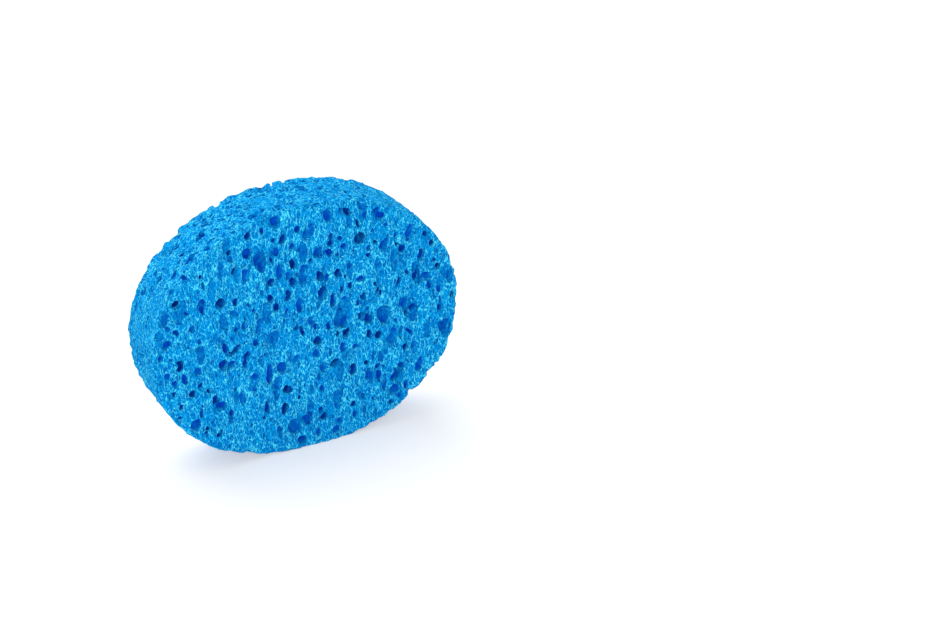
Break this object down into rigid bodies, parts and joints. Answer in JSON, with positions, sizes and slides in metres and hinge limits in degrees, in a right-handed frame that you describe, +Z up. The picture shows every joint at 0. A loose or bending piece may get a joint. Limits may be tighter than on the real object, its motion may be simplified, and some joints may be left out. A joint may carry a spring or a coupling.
{
  "type": "bath sponge",
  "caption": "Oval bath sponge of open-cell cellulose foam with broad flat faces and a straight porous rim, standing on its long rim.",
  "frame": {"origin": "middle of the small flat on the long rim that the sponge stands on", "axes": "+X along the oval, +Y through the thickness from the front face to the back face, +Z up across the oval"},
  "size_m": [0.13, 0.0254, 0.1058],
  "materials": {
    "foam": "dry, matt, finely porous dyed cellulose"
  },
  "bodies": {
    "root": {"sponge": "foam"}
  },
  "joints": []
}
